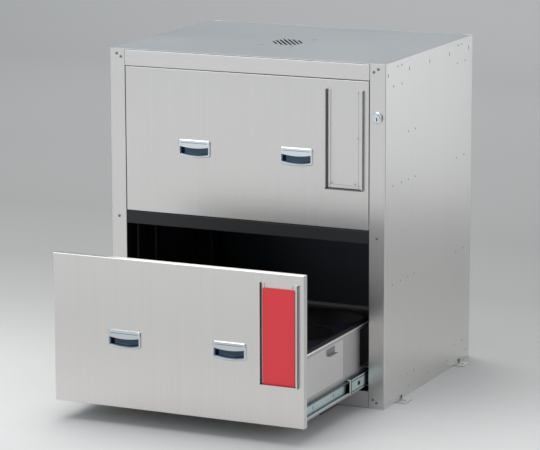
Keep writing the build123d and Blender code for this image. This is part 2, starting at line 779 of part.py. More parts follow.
for drawer, bottom, face in drawers:
    slide_z = bottom + slide_lift
    opened = front_y - face
    for name, side in sides:
        with BuildPart() as outer:
            with BuildSketch(slide_plane(side, front_y + outer_from_front, slide_z)):
                add(channel(outer_web_depth, outer_height, lip, 0))
            extrude(amount=side * outer_length)
            with BuildSketch(Plane.YZ.offset(side * (crown_x - slide_gauge))):
                for place in upright_places.values():
                    with Locations((front_y + place, slide_z)):
                        Circle(slide_screw_radius)
            extrude(amount=side * slide_gauge, mode=Mode.SUBTRACT)
        keep(outer, f"{drawer}_{name}_outer_slide")

        middle_y = front_y + middle_from_front - opened / 2
        with BuildPart() as middle:
            with BuildSketch(slide_plane(side, middle_y, slide_z)):
                add(channel(middle_web_depth, middle_height, lip, middle_stand_off))
            extrude(amount=side * middle_length)
            with BuildSketch(Plane.YZ.offset(side * (crown_x - middle_stand_off))):
                with Locations((middle_y + bumper_hole_in, slide_z)):
                    Rectangle(bumper_hole, bumper_hole)
                with Locations((middle_y + middle_length - bumper_hole_in, slide_z)):
                    Rectangle(bumper_hole, bumper_hole)
            extrude(amount=-side * slide_gauge, mode=Mode.SUBTRACT)
            # a groove parts each ball race from the web
            with BuildSketch(slide_plane(side, middle_y, slide_z)):
                with Locations((middle_stand_off, 0)):
                    with GridLocations(0, middle_height - 2 * race_height, 1, 2):
                        Rectangle(race_groove_depth, race_groove_width, align=(Align.MIN, Align.CENTER))
            extrude(amount=side * middle_length, mode=Mode.SUBTRACT)
        keep(middle, f"{drawer}_{name}_middle_slide")

        inner_y = face + inner_from_front
        with BuildPart() as inner:
            with BuildSketch(slide_plane(side, inner_y, slide_z)):
                add(inner_section())
            extrude(amount=side * inner_length)
            with BuildSketch(Plane.YZ.offset(side * tray_half)):
                for place in slide_screws_in:
                    with Locations((inner_y + place, slide_z)):
                        Circle(slide_screw_radius)
            extrude(amount=side * slide_gauge, mode=Mode.SUBTRACT)
        keep(inner, f"{drawer}_{name}_inner_slide")

    with BuildPart() as outer_cages:
        for name, side in sides:
            add(cage_with_balls(
                side, front_y + outer_cage_from_front - opened / 4, slide_z, outer_cage_length,
                slide_gauge + cage_clearance, outer_web_depth - slide_gauge - 2 * cage_clearance,
                outer_ball_z, outer_web_depth / 2, outer_ball_radius,
            ))
    keep(outer_cages, f"{drawer}_outer_ball_cages")

    with BuildPart() as inner_cages:
        for name, side in sides:
            add(cage_with_balls(
                side, front_y + inner_cage_from_front - 3 * opened / 4, slide_z, inner_cage_length,
                middle_stand_off + slide_gauge + cage_clearance,
                middle_stand_off + middle_web_depth - slide_gauge - 3 * cage_clearance,
                inner_ball_z, slide_thickness - inner_flange / 2 - inner_ball_shift, inner_ball_radius,
            ))
    keep(inner_cages, f"{drawer}_inner_ball_cages")

    # buffers in the middle members' front ends, clear of the inner members
    with BuildPart() as buffers:
        for name, side in sides:
            with BuildSketch(slide_plane(side, middle_y, slide_z)):
                with Locations((middle_stand_off + slide_gauge, 0)):
                    Rectangle(
                        slide_thickness - inner_flange - middle_stand_off - slide_gauge - bumper_gap,
                        middle_height - 2 * slide_gauge - 2 * bumper_gap,
                        align=(Align.MIN, Align.CENTER),
                    )
            extrude(amount=side * bumper_length)
    keep(buffers, f"{drawer}_slide_buffers")

# ================================================================ drawers
front_edge_radius = 1.0
handle_edge_in = 220.0         # middle of a handle in from the cabinet's side
handle_x = half_width - handle_edge_in
handle_z = 158.0               # middle of a handle above the bottom of its front
handle_width = 81.0
handle_height = 41.5
handle_bow = 4.5
handle_proud = 3.5
handle_ring = 3.5
handle_wall = 1.6
handle_depth = 13.5
handle_corner = 4.5
handle_bevel = 1.2
lip_edge_z = 6.3               # lower edge of the finger lip at its ends
lip_thickness = 2.7
groove_z = 14.0
groove_width = 1.6
groove_depth = 1.2
card_edge_in = 100.0           # middle of the card holder in from the cabinet's side
card_x = half_width - card_edge_in
holder_width = 92.0
holder_bottom = 90.0
holder_height = 231.0
holder_depth = 8.0
holder_lip = 3.0
holder_flange = 12.0
holder_sheet = 1.0
card_width = 77.0
card_height = 219.0
card_thickness = 2.0
card_corner = 4.0
stiffener_end = 252.0
stiffener_low = 56.0
stiffener_high = 145.0
stiffener_flange = 12.0        # stiffener's front flange out from the tray's wall
stiffener_flange_edge = tray_half + stiffener_flange
window_length = 131.0
window_back = tray_depth - 10.0  # behind the face
window_front = window_back - window_length
window_low = 57.0
window_high = 146.0
rear_wall_height = 162.0       # above the bottom of the front
rear_hem = 10.0
strike_front = 156.0
strike_length = 43.0
strike_low = 127.0
strike_height = 15.0
strike_reach = 9.3
strike_notch = 5.0


def handle_outline(inset):
    """D-shaped outline, its lower edge bowed downwards, drawn in from the full size."""
    half = handle_width / 2 - inset
    top = handle_height / 2 - inset
    low = -handle_height / 2 + inset
    shoulder = low + handle_bow
    with BuildSketch() as outline:
        with BuildLine():
            Polyline((-half, shoulder), (-half, top), (half, top), (half, shoulder))
            ThreePointArc((half, shoulder), (0, low), (-half, shoulder))
        make_face()
        fillet(outline.vertices(), handle_corner - inset / 2)
    return outline.sketch


def below_lip():
    """Everything below the finger lip's bowed lower edge."""
    half = handle_width / 2
    with BuildSketch() as region:
        with BuildLine():
            ThreePointArc((-half, lip_edge_z), (0, lip_edge_z - handle_bow), (half, lip_edge_z))
            Polyline((half, lip_edge_z), (half, -half), (-half, -half), (-half, lip_edge_z))
        make_face()
    return region.sketch


for drawer, bottom, face in drawers:
    rear_face = face + front_thickness
    handles_at = [(side * handle_x, bottom + handle_z) for name, side in sides]
    front_middle = bottom + front_height / 2

    with BuildPart() as front:
        with BuildSketch(facing_front(face)):
            with Locations((0, front_middle)):
                Rectangle(front_width, front_height)
        extrude(amount=-front_thickness)
        fillet(front.faces().sort_by(Axis.Y)[0].edges(), front_edge_radius)
        with BuildSketch(facing_front(face + sheet)):
            with Locations((0, front_middle)):
                Rectangle(front_width - 2 * sheet, front_height - 2 * sheet)
        extrude(amount=sheet - front_thickness, mode=Mode.SUBTRACT)
        with BuildSketch(facing_front(face)):
            with Locations(*handles_at):
                add(handle_outline(handle_ring - fit))
        extrude(amount=-sheet, mode=Mode.SUBTRACT)
    keep(front, f"{drawer}_front")

    with BuildPart() as liner:
        with BuildSketch(facing_front(rear_face)):
            with Locations((0, front_middle)):
                Rectangle(front_width - 2 * sheet, front_height - 2 * sheet)
        extrude(amount=sheet)
    keep(liner, f"{drawer}_front_liner")

    with BuildPart() as handles:
        with BuildSketch(facing_front(face)):
            with Locations(*handles_at):
                add(handle_outline(0))
        extrude(amount=handle_proud)
        chamfer(handles.faces().filter_by(Axis.Y).group_by(Axis.Y)[0].edges(), handle_bevel)
        with BuildSketch(facing_front(face)):
            with Locations(*handles_at):
                add(handle_outline(handle_ring))
        extrude(amount=-handle_depth)
        with BuildSketch(facing_front(face - handle_proud + lip_thickness)):
            with Locations(*handles_at):
                add(handle_outline(handle_ring + handle_wall))
        extrude(amount=handle_proud - lip_thickness - handle_depth + handle_wall, mode=Mode.SUBTRACT)
        with BuildSketch(facing_front(face - handle_proud)):
            with Locations(*handles_at):
                add(handle_outline(handle_ring) & below_lip())
        extrude(amount=-lip_thickness, mode=Mode.SUBTRACT)
        with BuildSketch(facing_front(face - handle_proud)):
            with Locations(*[(x, z + groove_z) for x, z in handles_at]):
                Rectangle(handle_width - 4 * handle_ring, groove_width)
        extrude(amount=-groove_depth, mode=Mode.SUBTRACT)
    keep(handles, f"{drawer}_handles")

    # U-shaped holder, open at the top, for the sign card
    holder_low = bottom + holder_bottom
    holder_half = holder_width / 2
    with BuildPart() as holder:
        with BuildSketch(Plane.XY.offset(holder_low)):
            for turn in (-1, 1):
                inwards = (Align.MIN if turn < 0 else Align.MAX, Align.MAX)
                with Locations((card_x + turn * holder_half, face)):
                    Rectangle(holder_flange, holder_sheet, align=inwards)
                    Rectangle(holder_sheet, holder_depth, align=inwards)
                with Locations((card_x + turn * holder_half, face + holder_sheet - holder_depth)):
                    Rectangle(holder_lip, holder_sheet, align=inwards)
        extrude(amount=holder_height)
        with BuildSketch(Plane.YZ.offset(card_x - holder_half)):
            with Locations((face, holder_low)):
                Rectangle(holder_sheet, holder_flange, align=(Align.MAX, Align.MIN))
                Rectangle(holder_depth, holder_sheet, align=(Align.MAX, Align.MIN))
            with Locations((face + holder_sheet - holder_depth, holder_low)):
                Rectangle(holder_sheet, holder_lip, align=(Align.MAX, Align.MIN))
        extrude(amount=holder_width)
    keep(holder, f"{drawer}_card_holder")

    # tray: floor and sides folded from one sheet, front and rear walls set in
    tray_low = bottom + tray_lift
    tray_high = tray_low + tray_height
    tray_back = rear_face + tray_depth
    with BuildPart() as tray:
        with BuildSketch(facing_front(rear_face)):
            add(folded(
                [
                    (-tray_half + tray_top_flange, tray_high),
                    (-tray_half, tray_high),
                    (-tray_half, tray_low),
                    (tray_half, tray_low),
                    (tray_half, tray_high),
                    (tray_half - tray_top_flange, tray_high),
                ],
            ))
        extrude(amount=-tray_depth)
        with BuildSketch(facing_front(rear_face)):
            with Locations((0, tray_low)):
                Rectangle(tray_width - 2 * sheet, tray_height, align=(Align.CENTER, Align.MIN))
        extrude(amount=-sheet)
        with BuildSketch(facing_front(tray_back)):
            with Locations((0, tray_low)):
                Rectangle(
                    tray_width - 2 * sheet, rear_wall_height - tray_lift, align=(Align.CENTER, Align.MIN),
                )
        extrude(amount=sheet)
        with BuildSketch(Plane.XY.offset(bottom + rear_wall_height)):
            with Locations((0, tray_back - sheet)):
                Rectangle(tray_width - 2 * sheet, rear_hem + sheet, align=(Align.CENTER, Align.MIN))
        extrude(amount=-sheet)
        with BuildSketch(Plane.YZ):
            with Locations((face + window_front, bottom + window_low)):
                Rectangle(
                    window_back - window_front, window_high - window_low, align=(Align.MIN, Align.MIN),
                )
        extrude(amount=tray_half, both=True, mode=Mode.SUBTRACT)
    keep(tray, f"{drawer}_tray")

    rack_half = tray_half - rack_inset
    with BuildPart() as rack:
        with BuildSketch(facing_front(rear_face + running_gap)):
            add(folded(
                [
                    (-rack_half, tray_high + rack_rim),
                    (-rack_half, tray_high),
                    (rack_half, tray_high),
                    (rack_half, tray_high + rack_rim),
                ],
            ))
        extrude(amount=-(tray_depth - sheet - 2 * running_gap))
        with BuildSketch(Plane.XY.offset(tray_high)):
            with Locations((0, face + bottle_rows_from_front)):
                with GridLocations(bottle_pitch_x, bottle_pitch_y, 3, 2):
                    Circle(bottle_hole / 2)
        extrude(amount=sheet, mode=Mode.SUBTRACT)
    keep(rack, f"{drawer}_bottle_rack")

    with BuildPart() as stiffeners:
        with BuildSketch(Plane.XY.offset(bottom + stiffener_low)):
            add(folded(
                [
                    (stiffener_flange_edge, rear_face),
                    (tray_half, rear_face),
                    (tray_half, face + stiffener_end),
                ],
                side=Side.RIGHT,
            ))
        extrude(amount=stiffener_high - stiffener_low)
        mirror(about=Plane.YZ)
    keep(stiffeners, f"{drawer}_side_stiffeners")

    strike_x = tray_half + sheet
    with BuildPart() as strike:
        with BuildSketch(facing_front(face + strike_front)):
            with Locations((strike_x, bottom + strike_low)):
                Rectangle(sheet, strike_height, align=(Align.MIN, Align.MIN))
                Rectangle(strike_reach, sheet, align=(Align.MIN, Align.MIN))
        extrude(amount=-strike_length)
        with BuildSketch(Plane.XY.offset(bottom + strike_low)):
            with Locations((strike_x + 2 * sheet, face + hook_depth)):
                Rectangle(strike_reach, strike_notch, align=(Align.MIN, Align.CENTER))
        extrude(amount=sheet, mode=Mode.SUBTRACT)
    keep(strike, f"{drawer}_lock_strike")

    with BuildPart() as pads:
        with BuildSketch(Plane.XY.offset(tray_low)):
            for name, side in sides:
                with Locations((side * (tray_half - pad_width / 2), face + pad_from_front + pad_length / 2)):
                    Rectangle(pad_width, pad_length)
        extrude(amount=-pad_thickness)
    keep(pads, f"{drawer}_guide_pads")

    if drawer == "lower":
        with BuildPart() as card:
            with BuildSketch(facing_front(face - holder_sheet)):
                with Locations((card_x, holder_low + holder_sheet + card_height / 2)):
                    RectangleRounded(card_width, card_height, card_corner)
            extrude(amount=card_thickness)
        keep(card, "sign_card")
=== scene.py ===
import math

import bpy
import numpy as np
from mathutils import Matrix, Vector


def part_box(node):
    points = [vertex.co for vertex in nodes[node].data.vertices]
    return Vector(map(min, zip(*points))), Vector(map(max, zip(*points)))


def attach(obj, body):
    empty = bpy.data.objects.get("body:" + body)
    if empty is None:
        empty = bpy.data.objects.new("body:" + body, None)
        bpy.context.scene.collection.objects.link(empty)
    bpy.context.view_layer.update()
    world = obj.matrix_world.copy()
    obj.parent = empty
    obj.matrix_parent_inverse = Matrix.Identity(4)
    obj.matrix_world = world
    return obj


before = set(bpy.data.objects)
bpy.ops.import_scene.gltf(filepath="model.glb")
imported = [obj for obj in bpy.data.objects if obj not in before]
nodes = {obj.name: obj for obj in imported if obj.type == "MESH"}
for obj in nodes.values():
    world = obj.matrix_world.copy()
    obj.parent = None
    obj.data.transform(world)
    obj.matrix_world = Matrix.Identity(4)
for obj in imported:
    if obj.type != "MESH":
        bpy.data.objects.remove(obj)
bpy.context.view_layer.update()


# ---------------------------------------------------------------- camera
# A long lens from the front right, a little above the cabinet's top, looking gently down. Its place,
# its turn and its length were solved from the casing's edges.
camera_place = Vector((2.7011, -6.0011, 1.6938))
camera_yaw = math.radians(24.739)
camera_pitch = math.radians(11.512)
camera_roll = math.radians(-0.168)
camera_lens = 185.65
camera_sensor = 36.0

sight = Vector((
    -math.sin(camera_yaw) * math.cos(camera_pitch),
    math.cos(camera_yaw) * math.cos(camera_pitch),
    -math.sin(camera_pitch),
))
level = Vector((math.cos(camera_yaw), math.sin(camera_yaw), 0.0))
upright = level.cross(sight)
right = level * math.cos(camera_roll) + upright * math.sin(camera_roll)
up = upright * math.cos(camera_roll) - level * math.sin(camera_roll)
camera_data = bpy.data.cameras.new("camera")
camera_data.lens = camera_lens
camera_data.sensor_width = camera_sensor
camera = bpy.data.objects.new("camera", camera_data)
camera.matrix_world = Matrix.Translation(camera_place) @ Matrix((right, up, -sight)).transposed().to_4x4()
bpy.context.scene.collection.objects.link(camera)
bpy.context.scene.camera = camera
bpy.context.scene.view_settings.view_transform = "Standard"


# ---------------------------------------------------------------- studio
# Pale paper swept up behind the cabinet, a large soft box overhead, one that washes the paper, weaker
# ones in front and beside, and a low pale board behind on the right for the cabinet's side to mirror.
def new_piece(name, points, faces, smooth=True):
    """Mesh object from lists of points and faces, put into the scene."""
    mesh = bpy.data.meshes.new(name)
    mesh.from_pydata(points, [], faces)
    if smooth:
        mesh.shade_smooth()
    piece = bpy.data.objects.new(name, mesh)
    bpy.context.scene.collection.objects.link(piece)
    return piece


def grid_mesh(name, points):
    """Mesh over a (rows, columns, 3) array of points, one quad between neighbours."""
    rows, columns = points.shape[:2]
    row, column = np.meshgrid(np.arange(rows - 1), np.arange(columns - 1), indexing="ij")
    corner = row * columns + column
    quads = np.stack([corner, corner + 1, corner + columns + 1, corner + columns], axis=-1).reshape(-1, 4)
    return new_piece(name, points.reshape(-1, 3).tolist(), quads.tolist())


def link(material, start, end):
    """Joins an output socket to an input socket."""
    material.node_tree.links.new(start, end)


sweep_start = 4.5
sweep_radius = 3.0
sweep_height = 7.0
sweep_stations = 33
paper_reach = 16.0
paper_columns = 17
# the profile lies flat, turns up through (start + r sin a, r (1 - cos a)) and then stands
turn = np.linspace(0.0, math.pi / 2, sweep_stations)
profile_y = np.concatenate([
    [-paper_reach], sweep_start + sweep_radius * np.sin(turn), [sweep_start + sweep_radius],
])
profile_z = np.concatenate([[0.0], sweep_radius * (1 - np.cos(turn)), [sweep_height]])
across = np.linspace(-paper_reach, paper_reach, paper_columns)
paper_points = np.stack([
    np.broadcast_to(across, (len(profile_y), len(across))),
    np.broadcast_to(profile_y[:, None], (len(profile_y), len(across))),
    np.broadcast_to(profile_z[:, None], (len(profile_y), len(across))),
], axis=-1)
paper = grid_mesh("paper", paper_points)

# The ramp paints the studio's light and shade into the paper's colour: pale in front, darker grey behind the
# cabinet.
tone_front = -4.0
tone_back = 5.5
painted_paper_light = (
    (-4.0, 0.90), (-3.0, 0.88), (-2.2, 0.66), (-1.4, 0.50), (-0.8, 0.62), (-0.5, 0.60), (-0.2, 0.54),
    (0.1, 0.44), (0.4, 0.36), (0.9, 0.29), (1.6, 0.265), (2.6, 0.30), (4.2, 0.39), (5.5, 0.44),
)
paper_gain = 0.9
paper_material = bpy.data.materials.new("studio paper")
paper_material.use_nodes = True
paper_nodes = paper_material.node_tree.nodes
paper_shader = paper_nodes["Principled BSDF"]
paper_shader.inputs["Roughness"].default_value = 0.95
paper_shader.inputs["Specular IOR Level"].default_value = 0.1
place = paper_nodes.new("ShaderNodeTexCoord")
split = paper_nodes.new("ShaderNodeSeparateXYZ")
link(paper_material, place.outputs["Object"], split.inputs[0])
depth = paper_nodes.new("ShaderNodeMapRange")
depth.inputs["From Min"].default_value = tone_front
depth.inputs["From Max"].default_value = tone_back
link(paper_material, split.outputs["Y"], depth.inputs["Value"])
tone = paper_nodes.new("ShaderNodeValToRGB")
ramp = tone.color_ramp
for y, _ in painted_paper_light[1:-1]:
    ramp.elements.new((y - tone_front) / (tone_back - tone_front))
for stop, (y, value) in zip(ramp.elements, painted_paper_light):
    stop.color = (value * paper_gain, value * paper_gain, value * paper_gain, 1)
link(paper_material, depth.outputs["Result"], tone.inputs["Fac"])
link(paper_material, tone.outputs["Color"], paper_shader.inputs["Base Color"])
paper.data.materials.append(paper_material)


def soft_box(name, place, aim, size, watts, tint=(1, 1, 1)):
    """Square area light of the given side, turned to face a point."""
    lamp = bpy.data.lights.new(name, "AREA")
    lamp.shape = "SQUARE"
    lamp.size = size
    lamp.energy = watts
    lamp.color = tint
    fixture = bpy.data.objects.new(name, lamp)
    toward = Vector(aim) - Vector(place)
    fixture.rotation_euler = toward.to_track_quat("-Z", "Y").to_euler()
    fixture.location = place
    bpy.context.scene.collection.objects.link(fixture)


warm = (1.0, 0.985, 0.965)
board_left, board_right = 0.95, 4.0
board_foot, board_top = 0.02, 1.3
board_y = 2.0
board_turn = 0.6
board_points = np.array([
    [(board_left, board_y, board_foot), (board_right, board_y - board_turn, board_foot)],
    [(board_left, board_y, board_top), (board_right, board_y - board_turn, board_top)],
])
board = grid_mesh("glowing bounce board", board_points)
board_material = bpy.data.materials.new("glowing bounce board")
board_material.use_nodes = True
board_shader = board_material.node_tree.nodes["Principled BSDF"]
board_shader.inputs["Base Color"].default_value = (0.86, 0.87, 0.88, 1)
# The board glows faintly, painted light standing in for the light it would bounce.
board_shader.inputs["Emission Color"].default_value = (0.93, 0.96, 1.0, 1)
board_shader.inputs["Emission Strength"].default_value = 0.24
board.data.materials.append(board_material)
soft_box("overhead box", (-0.7, 0.4, 3.9), (-0.5, 0.2, 0.3), 4.4, 190, warm)
soft_box("back wash", (-2.0, 2.2, 5.2), (-3.0, 6.0, 0.8), 3.0, 170)
soft_box("front box", (-2.6, -5.2, 2.8), (0, 0, 0.4), 3.0, 60, warm)
soft_box("side box", (4.6, -0.6, 2.6), (0.3, 0, 0.5), 2.4, 40, warm)
world = bpy.data.worlds.new("studio air")
bpy.context.scene.world = world
world.use_nodes = True
world.node_tree.nodes["Background"].inputs["Color"].default_value = (0.74, 0.80, 0.85, 1)
world.node_tree.nodes["Background"].inputs["Strength"].default_value = 0.62


# ---------------------------------------------------------------- casing
# Stainless sheet with a fine brushed grain, folded and riveted to hat-section uprights, which are painted
# near black for the shade inside the casing. The grain runs up the sides and their posts and along the top
# and the rails.
def new_group(name, inputs, outputs):
    """Empty shader node group with the given sockets, each (name, type, default)."""
    group = bpy.data.node_groups.new(name, "ShaderNodeTree")
    for label, kind, value in inputs:
        socket = group.interface.new_socket(label, in_out="INPUT", socket_type=kind)
        socket.default_value = value
    for label, kind in outputs:
        group.interface.new_socket(label, in_out="OUTPUT", socket_type=kind)
    return group, group.nodes.new("NodeGroupInput"), group.nodes.new("NodeGroupOutput")


def joined(group, kind, inputs, **settings):
    """Adds a node to a group and links or sets its inputs, given by index or name."""
    node = group.nodes.new(kind)
    for key, value in settings.items():
        setattr(node, key, value)
    for key, value in inputs.items():
        if isinstance(value, bpy.types.NodeSocket):
            group.links.new(value, node.inputs[key])
        else:
            node.inputs[key].default_value = value
    return node


# Brushed grain: two noises drawn out along it, one finer than a hair and one of broader streaks, and a
# soft cloud over the polish.
hair_scale = 2200.0
streak_scale = 130.0
cloud_scale = 3.5
polish_spread = 0.03
groove_depth = 0.0002
grain, grain_in, grain_out = new_group(
    "brushed grain",
    [
        ("Color", "NodeSocketColor", (0.7, 0.7, 0.7, 1)),
        ("Stretch", "NodeSocketVector", (1.0, 1.0, 0.01)),
        ("Streaks", "NodeSocketFloat", 0.06),
        ("Depth", "NodeSocketFloat", 0.2),
        ("Roughness", "NodeSocketFloat", 0.3),
    ],
    [("Color", "NodeSocketColor"), ("Roughness", "NodeSocketFloat"), ("Normal", "NodeSocketVector")],
)
where = grain.nodes.new("ShaderNodeTexCoord")
drawn = joined(grain, "ShaderNodeVectorMath", {0: where.outputs["Object"], 1: grain_in.outputs["Stretch"]},
               operation="MULTIPLY")
hair = joined(grain, "ShaderNodeTexNoise",
              {"Vector": drawn.outputs[0], "Scale": hair_scale, "Detail": 2.0})
streak = joined(grain, "ShaderNodeTexNoise",
                {"Vector": drawn.outputs[0], "Scale": streak_scale, "Detail": 3.0})
cloud = joined(grain, "ShaderNodeTexNoise",
               {"Vector": where.outputs["Object"], "Scale": cloud_scale, "Detail": 2.0})
mixed = joined(grain, "ShaderNodeMath", {0: hair.outputs["Fac"], 1: streak.outputs["Fac"]}, operation="ADD")
spread = joined(grain, "ShaderNodeMath", {0: mixed.outputs[0], 1: 1.0}, operation="SUBTRACT")
scaled = joined(grain, "ShaderNodeMath", {0: spread.outputs[0], 1: grain_in.outputs["Streaks"]},
                operation="MULTIPLY")
shade = joined(grain, "ShaderNodeMath", {0: scaled.outputs[0], 1: 1.0}, operation="ADD")
tinted = joined(grain, "ShaderNodeVectorMath", {0: grain_in.outputs["Color"], "Scale": shade.outputs[0]},
                operation="SCALE")
polish = joined(grain, "ShaderNodeMapRange",
                {"Value": cloud.outputs["Fac"], "To Min": -polish_spread, "To Max": polish_spread})
rough = joined(grain, "ShaderNodeMath", {0: grain_in.outputs["Roughness"], 1: polish.outputs["Result"]},
               operation="ADD")
groove = joined(grain, "ShaderNodeBump", {
    "Strength": grain_in.outputs["Depth"], "Distance": groove_depth, "Height": hair.outputs["Fac"],
})
grain.links.new(tinted.outputs[0], grain_out.inputs["Color"])
grain.links.new(rough.outputs[0], grain_out.inputs["Roughness"])
grain.links.new(groove.outputs[0], grain_out.inputs["Normal"])

# Faces that look into the casing, which stand in shade: 1 there, 0 on the outside.
inside, _, inside_out = new_group("inside casing", [], [("Mask", "NodeSocketFloat")])
inner_half_width, inner_half_depth, inner_height = 0.3495, 0.2746, 0.7994
spot = inside.nodes.new("ShaderNodeTexCoord")
axes = joined(inside, "ShaderNodeSeparateXYZ", {0: spot.outputs["Object"]})
wide = joined(inside, "ShaderNodeMath", {0: axes.outputs["X"]}, operation="ABSOLUTE")
deep = joined(inside, "ShaderNodeMath", {0: axes.outputs["Y"]}, operation="ABSOLUTE")
in_width = joined(inside, "ShaderNodeMath", {0: wide.outputs[0], 1: inner_half_width}, operation="LESS_THAN")
in_depth = joined(inside, "ShaderNodeMath", {0: deep.outputs[0], 1: inner_half_depth}, operation="LESS_THAN")
in_height = joined(inside, "ShaderNodeMath", {0: axes.outputs["Z"], 1: inner_height}, operation="LESS_THAN")
both = joined(inside, "ShaderNodeMath", {0: in_width.outputs[0], 1: in_depth.outputs[0]},
              operation="MULTIPLY")
every = joined(inside, "ShaderNodeMath", {0: both.outputs[0], 1: in_height.outputs[0]}, operation="MULTIPLY")
inside.links.new(every.outputs[0], inside_out.inputs["Mask"])

up_grain = (1.0, 1.0, 0.012)
across_grain = (0.012, 1.0, 1.0)
deep_grain = (1.0, 0.012, 1.0)


def brushed(name, color, stretch, roughness, streaks=0.06, depth=0.2):
    """Bare brushed metal, its grain drawn out along the axis with the smallest stretch."""
    material = bpy.data.materials.new(name)
    material.use_nodes = True
    shader = material.node_tree.nodes["Principled BSDF"]
    shader.inputs["Metallic"].default_value = 1.0
    finish = material.node_tree.nodes.new("ShaderNodeGroup")
    finish.node_tree = grain
    finish.inputs["Color"].default_value = (*color, 1)
    finish.inputs["Stretch"].default_value = stretch
    finish.inputs["Streaks"].default_value = streaks
    finish.inputs["Depth"].default_value = depth
    finish.inputs["Roughness"].default_value = roughness
    link(material, finish.outputs["Color"], shader.inputs["Base Color"])
    link(material, finish.outputs["Roughness"], shader.inputs["Roughness"])
    link(material, finish.outputs["Normal"], shader.inputs["Normal"])
    return material


def shaded(material, group, shade, tint=(1.0, 1.0, 1.0)):
    """Darkens a material by the share given, towards a tint, where the mask of a node group is 1."""
    tree = material.node_tree
    shader = tree.nodes["Principled BSDF"]
    mask = tree.nodes.new("ShaderNodeGroup")
    mask.node_tree = group
    mix = tree.nodes.new("ShaderNodeMix")
    mix.data_type = "RGBA"
    mix.blend_type = "MULTIPLY"
    color = [socket for socket in mix.inputs if socket.type == "RGBA"]
    result = [socket for socket in mix.outputs if socket.type == "RGBA"][0]
    color[1].default_value = (*[(1 - shade) * part for part in tint], 1)
    if shader.inputs["Base Color"].is_linked:
        link(material, shader.inputs["Base Color"].links[0].from_socket, color[0])
    else:
        color[0].default_value = shader.inputs["Base Color"].default_value
    link(material, mask.outputs["Mask"], mix.inputs["Factor"])
    link(material, result, shader.inputs["Base Color"])
    return material


def dress(material, *names):
    """Gives CAD nodes one material in place of every slot they came with."""
    for name in names:
        slots = nodes[name].material_slots
        if not slots:
            nodes[name].data.materials.append(material)
        for slot in slots:
            slot.material = material


sheet_steel = (0.76, 0.74, 0.725)
inner_shade = 0.82
inner_tint = (0.86, 0.93, 1.12)


def inside_shaded(material):
    """Paints shade on the faces of a casing piece that look into the casing."""
    return shaded(material, inside, inner_shade, inner_tint)


dress(inside_shaded(brushed("side sheet", sheet_steel, up_grain, 0.31)), "left_side_panel", "right_side_panel")
# The top sheet is painted darker and bluer than the sides, a painted reflection of the air above it.
dress(inside_shaded(brushed("top sheet", (0.55, 0.58, 0.605), across_grain, 0.32)), "top_panel")
dress(inside_shaded(brushed("rail sheet", sheet_steel, across_grain, 0.34)), "top_rail", "bottom_rail")
dress(inside_shaded(brushed("base sheet", (0.6, 0.6, 0.6), across_grain, 0.42)), "base_panel")
dress(brushed("bracket sheet", (0.62, 0.62, 0.62), across_grain, 0.4), "floor_brackets")
# Painted shade: the uprights, cleats and lock bar inside the casing are near black.
dress(
    brushed("frame sheet in painted shade", (0.06, 0.06, 0.065), up_grain, 0.45),
    "front_uprights", "middle_uprights", "rear_uprights", "rail_cleats", "lock_bar",
)


# ---------------------------------------------------------------- back sheet
# Flat stainless sheet screwed between the rear flanges. Its outer face lies inside them, so a box of
# its own marks the face that looks into the casing, which gets the same painted shade.
def box_mask(name, low, high):
    """Node group whose mask is 1 between two corners, given in metres, and 0 outside them."""
    group, _, group_out = new_group(name, [], [("Mask", "NodeSocketFloat")])
    where = group.nodes.new("ShaderNodeTexCoord")
    axes = joined(group, "ShaderNodeSeparateXYZ", {0: where.outputs["Object"]})
    mask = None
    for axis, start, end in zip("XYZ", low, high):
        past = joined(group, "ShaderNodeMath", {0: axes.outputs[axis], 1: start}, operation="GREATER_THAN")
        short = joined(group, "ShaderNodeMath", {0: axes.outputs[axis], 1: end}, operation="LESS_THAN")
        span = joined(group, "ShaderNodeMath", {0: past.outputs[0], 1: short.outputs[0]},
                      operation="MULTIPLY")
        if mask is not None:
            span = joined(group, "ShaderNodeMath", {0: mask.outputs[0], 1: span.outputs[0]},
                          operation="MULTIPLY")
        mask = span
    group.links.new(mask.outputs[0], group_out.inputs["Mask"])
    return group


def box_shaded(material, shades):
    """Darkens a material inside boxes, each given as share, low corner and high corner."""
    for count, (share, low, high) in enumerate(shades):
        shaded(material, box_mask(f"{material.name} shade {count}", low, high), share)
    return material


skin = 0.0003
low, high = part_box("rear_panel")
back_shade_mask = box_mask("back sheet inside", (low[0], low[1] - skin, low[2]),
                       (high[0], high[1] - skin, high[2]))
back_metal = brushed("back sheet", (0.7, 0.69, 0.68), up_grain, 0.4)
dress(shaded(back_metal, back_shade_mask, inner_shade, inner_tint), "rear_panel")


# ---------------------------------------------------------------- black coats and rubber
# The middle rail and the air deflector are near black, and the bottle racks a duller black. The guide
# pads under the trays and the slides' buffers are moulded rubber.
peel_scale = 900.0
peel_strength = 0.1
peel_depth = 0.0002
gloss_spread = 0.06


def coated(name, color, roughness, metallic=0.0):
    """Plain coat or moulding: soft mottling in the gloss and a fine orange-peel bump."""
    material = bpy.data.materials.new(name)
    material.use_nodes = True
    tree = material.node_tree
    shader = tree.nodes["Principled BSDF"]
    shader.inputs["Metallic"].default_value = metallic
    shader.inputs["Base Color"].default_value = (*color, 1)
    where = tree.nodes.new("ShaderNodeTexCoord")
    peel = tree.nodes.new("ShaderNodeTexNoise")
    peel.inputs["Scale"].default_value = peel_scale
    link(material, where.outputs["Object"], peel.inputs["Vector"])
    mottle = tree.nodes.new("ShaderNodeMapRange")
    mottle.inputs["To Min"].default_value = roughness - gloss_spread
    mottle.inputs["To Max"].default_value = roughness + gloss_spread
    link(material, peel.outputs["Fac"], mottle.inputs["Value"])
    link(material, mottle.outputs["Result"], shader.inputs["Roughness"])
    bump = tree.nodes.new("ShaderNodeBump")
    bump.inputs["Strength"].default_value = peel_strength
    bump.inputs["Distance"].default_value = peel_depth
    link(material, peel.outputs["Fac"], bump.inputs["Height"])
    link(material, bump.outputs["Normal"], shader.inputs["Normal"])
    return material


